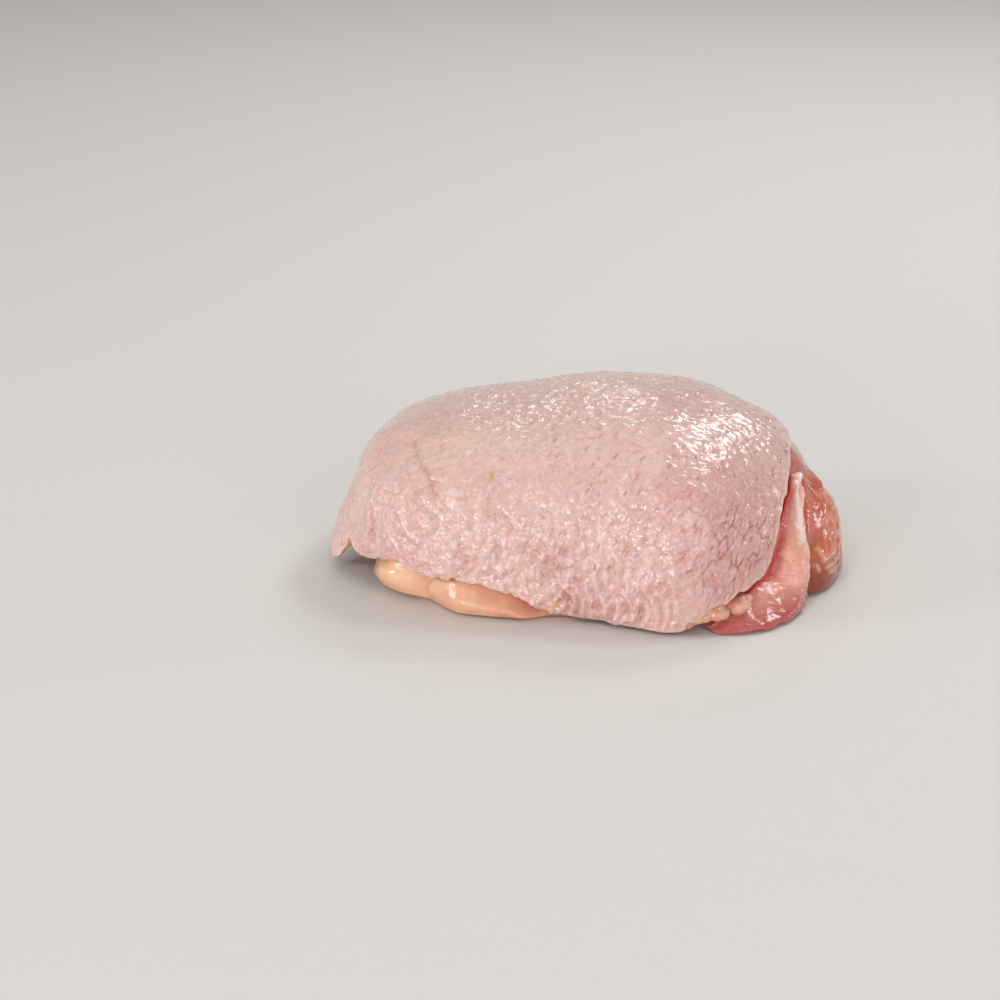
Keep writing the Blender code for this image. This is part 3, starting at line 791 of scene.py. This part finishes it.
# %% Meat, sculpted
BUNDLE_HEIGHT, FIBRE_HEIGHT, DENT_DEPTH = 0.45, 0.12, 0.25
meat = fine_copy("thigh_meat", "thigh_muscle", 2)
meat_points = points_of(meat)
x, y, z = meat_points.T
bundles = noise(meat_points, (26.0, 7.0, 9.0), 31)
fibres = noise(meat_points + 1.5 * bundles[:, None], (7.0, 0.9, 0.9), 32)
under = 1.0 - ramp(z, 0.4, 3.0)
shown = 1.0 - 0.75 * under
lift = shown * (BUNDLE_HEIGHT * bundles + FIBRE_HEIGHT * fibres)
lift -= under * DENT_DEPTH * ramp(-bundles, 0.1, 0.5)
lift = np.where(under > 0.5, np.minimum(lift, 0.0), lift)
move_points(meat, meat_points + lift[:, None] * normals_of(meat))
mark(meat, "membrane", patch(meat_points, (50.0, -8.0, 26.0), (7.0, 14.0, 6.0)))
mark(meat, "seam", 0.9 * ramp(0.45 * noise(meat_points, 3.0, 33) - bundles, 0.2, 0.75))
print("meat triangles:", sum(len(face.vertices) - 2 for face in meat.data.polygons))

# %% [markdown]
# ## Finish: wet raw muscle
#
# Muscle is red because of its pigment, and translucent, though less so than fat. Its fibres are
# a noise drawn out along one axis. Real fibre bundles are a few tenths of a millimetre thick.
# They are drawn 0.9 mm wide, so that they show. A wet film lies on top, as on the skin.

# %% Wet raw muscle
MUSCLE_WETNESS = {
    "IOR": 1.40,
    "Subsurface Weight": 0.25,
    "Subsurface Radius": (1.0, 0.25, 0.15),
    "Subsurface Scale": 0.0020,
    "Coat Weight": 1.0,
    "Coat Roughness": 0.08,
    "Coat IOR": 1.46,
}


def wet_raw_muscle(name, deep, light, stretch, layers):
    """Striated muscle: fibres drawn out along one axis, with layers of colour over them."""
    muscle = new_material(name)
    place = add_node(muscle, "ShaderNodeTexCoord").outputs["Object"]
    drawn_out = {"operation": "MULTIPLY", 1: stretch}
    stretched = add_node(muscle, "ShaderNodeVectorMath", drawn_out, {0: place}).outputs[0]
    fine = {"Scale": 1.0 / (0.9 * MM), "Detail": 3.0}
    strands = add_node(muscle, "ShaderNodeTexNoise", fine, {"Vector": stretched}).outputs[0]
    cut = {"From Min": 0.3, "From Max": 0.7}
    strand = add_node(muscle, "ShaderNodeMapRange", cut, {"Value": strands}).outputs[0]
    colour = layered(muscle, deep, ((strand, light), (mottle(muscle, 6.0, 0.45, 0.75), light), *layers))
    range_of = {"To Min": 0.20, "To Max": 0.38}
    damp = {"Value": mottle(muscle, 3.0, 0.3, 0.7)}
    roughness = add_node(muscle, "ShaderNodeMapRange", range_of, damp).outputs[0]
    wet_surface(muscle, colour, roughness, strand, 0.12, MUSCLE_WETNESS)
    return muscle


MEAT_LAYERS = (("seam", "#dfb492"), ("membrane", "#b85546"))
dress(meat, wet_raw_muscle("wet_raw_muscle", "#a54438", "#c0604f", (0.12, 1.0, 1.0), MEAT_LAYERS))

# %% [markdown]
# ## Fat pad and front lobe
#
# Below the skin's edge at the front lie a cream pad of fat and a long peach-coloured lobe. Both
# are smooth and soft, so they get only slow swells. The lobe's left end tucks in behind the pad,
# the pad reaches on over it, and one soft fold runs along the lobe.

# %% Fat and lobe, sculpted
def near_hem(points, reach):
    """1 under the skin's cut edge, falling softly with the reach in millimetres."""
    return fall(off_places(points, cut_edge), reach)


LOBE_FOLD = (
    (-40.5, -27.0, 2.0),
    (-39.5, -28.5, 5.0),
    (-37.1, -29.8, 7.0),
    (-32.5, -31.1, 7.2),
    (-28.0, -32.0, 7.0),
)
FOLD_WIDTH, FOLD_HEIGHT = 2.4, 0.7
SWELL_HEIGHT = 0.30
TUCKED_IN = np.array((0.0, 6.0, -1.0))
REACHED_ON = np.array((6.0, -3.2, 0.3))
fat_pad = fine_copy("fat_pad", "cream_fat_pad", 3)
front_lobe = fine_copy("front_lobe", "peach_lobe", 3)
fat_points = points_of(fat_pad)
lobe_points = points_of(front_lobe)
fat_moved = fat_points + (SWELL_HEIGHT * noise(fat_points, 6.0, 41))[:, None] * normals_of(fat_pad)
lobe_moved = lobe_points + (SWELL_HEIGHT * noise(lobe_points, 6.0, 43))[:, None] * normals_of(front_lobe)
fold = fall(off_line(lobe_points, LOBE_FOLD), FOLD_WIDTH)
lobe_moved += (FOLD_HEIGHT * fold)[:, None] * normals_of(front_lobe)
tuck = ramp(-lobe_points[:, 0], 29.0, 41.0)
lobe_moved += tuck[:, None] * TUCKED_IN
reach_on = ramp(fat_points[:, 0], -46.0, -38.0)
fat_moved += reach_on[:, None] * REACHED_ON
move_points(fat_pad, fat_moved)
move_points(front_lobe, lobe_moved)

mark(front_lobe, "warm", ramp(lobe_points[:, 0], -26.0, -8.0))
above_fold = ramp(lobe_points[:, 2] + 0.25 * (-30.0 - lobe_points[:, 0]), 6.4, 8.2)
mark(front_lobe, "cream", np.maximum(1.0 - ramp(lobe_points[:, 0], -41.0, -36.0), 0.8 * above_fold))
# Painted shadow: a red-orange line on the lobe just under the skin's edge.
mark(front_lobe, "red_and_shade", 0.7 * near_hem(lobe_points, 1.4))
mark(fat_pad, "warm", ramp(fat_points[:, 0], -45.0, -38.0))
mark(fat_pad, "cream", ramp(fat_points[:, 2], 2.0, 6.0))
# The pad's left end has a purple-pink membrane; along the skin's edge the same red is painted shadow.
mark(fat_pad, "red_and_shade", np.maximum(ramp(-fat_points[:, 0], 48.5, 51.0), 0.5 * near_hem(fat_points, 1.2)))
print("fat and lobe faces:", len(fat_pad.data.polygons), len(front_lobe.data.polygons))

# %% [markdown]
# ## Finish: wet fat
#
# Fat is the most translucent of all: light goes three millimetres in, and what is red below
# shines through. Its IOR is near 1.44, and the water on it has one near 1.36 with its salts. The
# colour changes slowly, in patches of five millimetres, with small warm specks.

# %% Wet fat
FAT_WETNESS = {
    "IOR": 1.44,
    "Subsurface Weight": 0.4,
    "Subsurface Radius": (1.0, 0.5, 0.25),
    "Subsurface Scale": 0.0030,
    "Coat Weight": 0.7,
    "Coat Roughness": 0.06,
    "Coat IOR": 1.36,
}


def wet_fat(name, base, cream, warm, red_and_shade):
    """Translucent fat with slow changes of colour under a film of water."""
    fat = new_material(name)
    patches = (mottle(fat, 5.0, 0.35, 0.7), cream)
    specks = (mottle(fat, 1.2, 0.62, 0.8), warm)
    # The last layer is red: painted shadow under the skin's edge, and a membrane at the pad's left end.
    colour = layered(fat, base, (patches, ("cream", cream), ("warm", warm), specks, ("red_and_shade", red_and_shade)))
    range_of = {"To Min": 0.25, "To Max": 0.42}
    damp = {"Value": mottle(fat, 4.0, 0.3, 0.7)}
    roughness = add_node(fat, "ShaderNodeMapRange", range_of, damp).outputs[0]
    wet_surface(fat, colour, roughness, mottle(fat, 1.4, 0.2, 0.8, 1.0), 0.08, FAT_WETNESS)
    return fat


dress(fat_pad, wet_fat("cream_fat", "#dba887", "#e6bb97", "#db9b7b", "#b0706c"))
dress(front_lobe, wet_fat("peach_fat", "#dea086", "#e6b996", "#da937a", "#cb6446"))

# %% [markdown]
# ## Folded flap
#
# At the front right a sheet of muscle folds outwards. Its upper edge is a thin white ridge of
# connective tissue that curves down and broadens into a pink lip. A curve with a bevel could
# make the ridge, but it grows out of the sheet, so it is a raised bead in the same mesh. The lip
# has fine slanting threads. The groove under the skin's edge is painted deep red, the muscle's
# own red with painted shade in it.

# %% Flap, sculpted
RIDGE = (
    (49.4, -12.2, 27.8),
    (48.2, -14.3, 27.5),
    (46.8, -17.0, 25.6),
    (47.2, -18.8, 22.5),
    (47.6, -21.4, 18.4),
    (48.2, -23.0, 14.5),
)
GROOVE = (
    (45.8, -17.2, 25.9),
    (44.2, -20.3, 22.7),
    (43.3, -22.7, 19.2),
    (42.6, -25.1, 15.2),
    (41.6, -26.7, 11.6),
    (40.7, -27.9, 9.0),
    (38.0, -30.6, 8.2),
    (34.4, -34.6, 7.4),
)
LIP_LINE = (
    (48.6, -16.0, 24.9),
    (48.3, -21.1, 18.3),
    (49.3, -22.3, 14.5),
    (50.1, -22.8, 10.2),
    (50.1, -24.9, 5.8),
)
BEAD_WIDTH, BEAD_HEIGHT = 0.75, 0.8
LIP_WIDTH, LIP_BEAD_HEIGHT = 0.6, 0.45
THREAD_HEIGHT = 0.10
flap = fine_copy("muscle_flap", "folded_flap", 3)
flap_points = points_of(flap)
x, y, z = flap_points.T
off_groove = off_line(flap_points, GROOVE)
groove = fall(off_groove, 1.5)
bead = fall(off_line(flap_points, RIDGE), BEAD_WIDTH)
lip_bead = fall(off_line(flap_points, LIP_LINE), LIP_WIDTH)
slant = 0.55 * x + z
threads = noise(np.stack([slant, 0.15 * x, 0.15 * y], axis=1), 0.8, 51)
deep = groove * (0.8 * ramp(-z, -17.0, -9.0) - 0.5 * ramp(z, 19.0, 24.0))
lift = BEAD_HEIGHT * bead + LIP_BEAD_HEIGHT * lip_bead - deep + THREAD_HEIGHT * threads
lift += 0.35 * noise(flap_points, 4.0, 52)
lift += 0.6 * patch(flap_points, (46.5, -26.0, 9.0), (4.0, 5.0, 6.0))
lift += 1.1 * patch(flap_points, (41.5, -31.5, 4.5), (5.0, 4.0, 3.0))
lift += 0.10 * noise(flap_points, 1.7, 54)
move_points(flap, flap_points + lift[:, None] * normals_of(flap))
mark(flap, "membrane", bead + 0.6 * lip_bead)
mark(flap, "seam", 0.8 * patch(flap_points, (46.0, -23.0, 14.0), (4.0, 5.0, 7.0)))
mark(flap, "low", ramp(-z, -7.0, -2.0))
# Deep red along the groove under the skin's edge: the muscle's own red with painted shade.
mark(flap, "red_and_shade", fall(off_groove, 1.9))
FLAP_LAYERS = (("seam", "#e2a287"), ("low", "#b45650"), ("red_and_shade", "#cb3a2e"), ("membrane", "#ecd3cb"))
dress(flap, wet_raw_muscle("pink_flap_muscle", "#e39182", "#eeb1a1", (0.2, 0.5, 1.0), FLAP_LAYERS))

# %% [markdown]
# ## Fat lumps by the flap
#
# Small grains of cream fat sit between the skin's edge and the flap. Metaballs would melt
# together as these do. Here each is an egg shape, and a voxel Remesh with some smoothing fuses
# them, which keeps their places and sizes and gives even faces.

# %% Fat lumps
# Each lump: its middle and its radius in millimetres.
LUMPS = (
    ((34.6, -35.6, 6.2), 1.3),
    ((33.0, -37.7, 4.9), 2.3),
    ((33.2, -36.5, 6.3), 1.5),
    ((31.2, -37.3, 6.8), 1.3),
    ((30.6, -38.2, 5.7), 1.7),
    ((28.0, -40.3, 4.7), 2.2),
    ((26.3, -40.2, 4.9), 1.3),
    ((25.2, -41.2, 3.7), 1.1),
    ((23.2, -41.6, 3.3), 1.1),
    ((21.5, -41.9, 2.6), 1.2),
    ((19.6, -42.1, 2.1), 1.0),
)
LUMP_TURN = math.radians(35.0)
EGG_SHAPE = (1.2, 1.0, 0.85)
VOXEL = 0.22 * MM
SMOOTHING_TURNS = 14
grains = bmesh.new()
for place, radius in LUMPS:
    shape = Matrix.Translation(Vector(place) * MM) @ Matrix.Rotation(LUMP_TURN, 4, "Z")
    shape = shape @ Matrix.Diagonal([share * radius * MM for share in EGG_SHAPE] + [1.0])
    bmesh.ops.create_icosphere(grains, subdivisions=3, radius=1.0, matrix=shape)
lump_mesh = bpy.data.meshes.new("fat_lumps")
grains.to_mesh(lump_mesh)
grains.free()
edge_fat = add_object("fat_lumps", lump_mesh)
fuse = edge_fat.modifiers.new("fuse", "REMESH")
fuse.mode = "VOXEL"
fuse.voxel_size = VOXEL
soften = edge_fat.modifiers.new("soften", "SMOOTH")
soften.iterations = SMOOTHING_TURNS
settle(edge_fat)
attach(edge_fat, "root")
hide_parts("edge_fat")
lump_points = points_of(edge_fat)
lift = 0.30 * noise(lump_points, 1.9, 61) + 0.10 * noise(lump_points, 1.0, 62)
move_points(edge_fat, lump_points + lift[:, None] * normals_of(edge_fat))
mark(edge_fat, "warm", ramp(noise(lump_points, 3.0, 63), 0.1, 0.8))
mark(edge_fat, "cream", ramp(noise(lump_points, 3.0, 64), -0.2, 0.5))
# Painted shadow: red next to the skin's edge.
mark(edge_fat, "red_and_shade", near_hem(lump_points, 1.3))
dress(edge_fat, wet_fat("cream_fat_lumps", "#d29b83", "#ddb49b", "#c47860", "#b34f3e"))

# %% [markdown]
# ## Joint end
#
# The lobe at the joint end is smooth muscle under a tight shiny membrane, orange-brown, with
# pale strands of tissue stretched over its lower right side. The strands are raised lines that
# also carry the membrane's colour. Two patches are finely wrinkled, and so they glint.

# %% Joint end, sculpted
STRANDS = (
    ((51.5, -20.5, 9.0), (53.1, -19.3, 5.9)),
    ((52.8, -17.9, 10.7), (54.3, -17.8, 8.3)),
    ((55.2, -17.5, 5.9), (57.3, -14.5, 5.8), (58.9, -11.3, 6.3)),
    ((54.5, -17.8, 7.5), (57.1, -14.3, 8.6)),
    ((56.0, -17.1, 4.5), (58.2, -13.2, 4.3)),
)
STRAND_WIDTH, STRAND_HEIGHT = 0.6, 0.45
SUNK_BY = np.array((-1.6, 0.6, -1.0))
knuckle = fine_copy("knuckle_lobe", "joint_lobe", 3)
knuckle_points = points_of(knuckle)
strand = sum(fall(off_line(knuckle_points, line), STRAND_WIDTH) for line in STRANDS)
wrinkled = patch(knuckle_points, (57.5, -11.0, 8.0), (6.0, 7.0, 6.0))
shiny = patch(knuckle_points, (58.5, -8.0, 15.5), (3.0, 5.0, 4.0))
lift = STRAND_HEIGHT * np.minimum(strand, 1.0) + 0.5 * noise(knuckle_points, 9.0, 71)
lift += 0.10 * noise(knuckle_points, 3.0, 72)
lift += (0.35 * wrinkled + 0.20 * shiny) * noise(knuckle_points, 1.6, 73)
sunk = ramp(knuckle_points[:, 2], 17.0, 23.5)
sculpted = knuckle_points + lift[:, None] * normals_of(knuckle)
sculpted += sunk[:, None] * SUNK_BY
move_points(knuckle, sculpted)
mark(knuckle, "membrane", 0.7 * strand)
# Darker towards the floor: painted shade.
mark(knuckle, "low", ramp(-knuckle_points[:, 2], -10.0, -3.0))
JOINT_LAYERS = (("low", "#923818"), ("membrane", "#e0ae96"))
dress(knuckle, wet_raw_muscle("brown_joint_muscle", "#c65930", "#d06c42", (0.5, 0.5, 0.4), JOINT_LAYERS))

# %% [markdown]
# ## Film of membrane
#
# Between the top of the white ridge, the meat and the joint lobe a thin film of membrane is
# stretched. A grid is laid between two lines, then relaxed like a soap film: each point moves to
# the middle of its neighbours, and is pushed out again where the solids stand in its way. Last
# its rim is sunk into the flesh, so that no edge of it shows, and fine pleats fan out on it.

# %% Film, draped
FILM_LEFT = (
    (47.6, -12.4, 28.2),
    (48.3, -15.2, 25.6),
    (48.2, -18.4, 22.0),
    (48.3, -21.4, 17.6),
    (49.0, -22.6, 13.0),
)
FILM_RIGHT = (
    (52.4, -2.5, 26.0),
    (55.2, -5.0, 22.4),
    (56.8, -8.5, 18.0),
    (56.0, -13.0, 14.5),
    (54.0, -17.0, 11.5),
)
FILM_OUT = np.array((0.80, -0.55, 0.24))
FILM_GAP, FILM_THICKNESS = 0.25, 0.5
EDGE_SUNK_BY, PLEAT_HEIGHT = 1.3, 0.14
ACROSS, DOWN = 25, 33
RELAX_TURNS = 30


def along_line(line, steps):
    """Evenly counted places on a line through a few places."""
    line = np.array(line)
    stops = np.linspace(0, len(line) - 1, steps)
    return np.stack([np.interp(stops, range(len(line)), axis) for axis in line.T], 1)


def solids_tree(names):
    """A search tree over several solids, in millimetres."""
    places, faces = [], []
    for name in names:
        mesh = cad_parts[name].data
        faces += [[k + len(places) for k in face.vertices] for face in mesh.polygons]
        places += [vertex.co / MM for vertex in mesh.vertices]
    return BVHTree.FromPolygons(places, faces)


under_film = solids_tree(("thigh_meat", "muscle_flap", "knuckle_lobe"))
share = np.linspace(0.0, 1.0, ACROSS)[None, :, None]
film = along_line(FILM_LEFT, DOWN)[:, None] * (1 - share) + along_line(FILM_RIGHT, DOWN)[:, None] * share
for _ in range(RELAX_TURNS):
    inner = film[1:-1, 1:-1]
    inner[:] = 0.25 * (film[:-2, 1:-1] + film[2:, 1:-1] + film[1:-1, :-2] + film[1:-1, 2:])
    for row, column in np.ndindex(DOWN, ACROSS):
        start = film[row, column] + 10.0 * FILM_OUT
        hit = under_film.ray_cast(Vector(start), Vector(-FILM_OUT))[0]
        if hit is not None and (np.array(hit) - film[row, column]) @ FILM_OUT > -FILM_GAP:
            film[row, column] = np.array(hit) + FILM_GAP * FILM_OUT

faces = []
for row, column in np.ndindex(DOWN - 1, ACROSS - 1):
    corner = row * ACROSS + column
    faces.append((corner, corner + 1, corner + ACROSS + 1, corner + ACROSS))
edge_row = np.minimum(np.arange(DOWN), np.arange(DOWN)[::-1])[:, None]
edge_column = np.minimum(np.arange(ACROSS), np.arange(ACROSS)[::-1])[None, :]
sink = 1.0 - ramp(np.minimum(edge_row, edge_column).astype(float), 0.0, 6.0)
film -= (EDGE_SUNK_BY * sink)[:, :, None] * FILM_OUT
film_mesh = bpy.data.meshes.new("membrane_film")
film_mesh.from_pydata((film.reshape(-1, 3) * MM).tolist(), [], faces)
film_piece = add_object("membrane_film", film_mesh)
thicken = film_piece.modifiers.new("thicken", "SOLIDIFY")
thicken.thickness = FILM_THICKNESS * MM
thicken.offset = 0.0
round_off = film_piece.modifiers.new("round_off", "SUBSURF")
round_off.levels = 2
settle(film_piece)
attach(film_piece, "root")

film_points = points_of(film_piece)
top = np.array(FILM_LEFT[0])
spread = film_points - top
fan = np.arctan2(spread[:, 2], spread[:, 1]) * 4.0
from_top = np.linalg.norm(spread, axis=1)
pleats = noise(np.stack([fan, 0.12 * from_top], axis=1), 0.6, 81)
move_points(film_piece, film_points + (PLEAT_HEIGHT * pleats)[:, None] * FILM_OUT)
mark(film_piece, "membrane", 0.7 * ramp(pleats, 0.4, 0.9) * ramp(-from_top, -12.0, -5.0))
print("film grid:", ACROSS, "by", DOWN, "places, relaxed", RELAX_TURNS, "times")
FILM_LAYERS = (("membrane", "#e2ae98"),)
dress(film_piece, wet_raw_muscle("stretched_membrane", "#ba482e", "#c65c3e", (0.5, 0.5, 0.3), FILM_LAYERS))
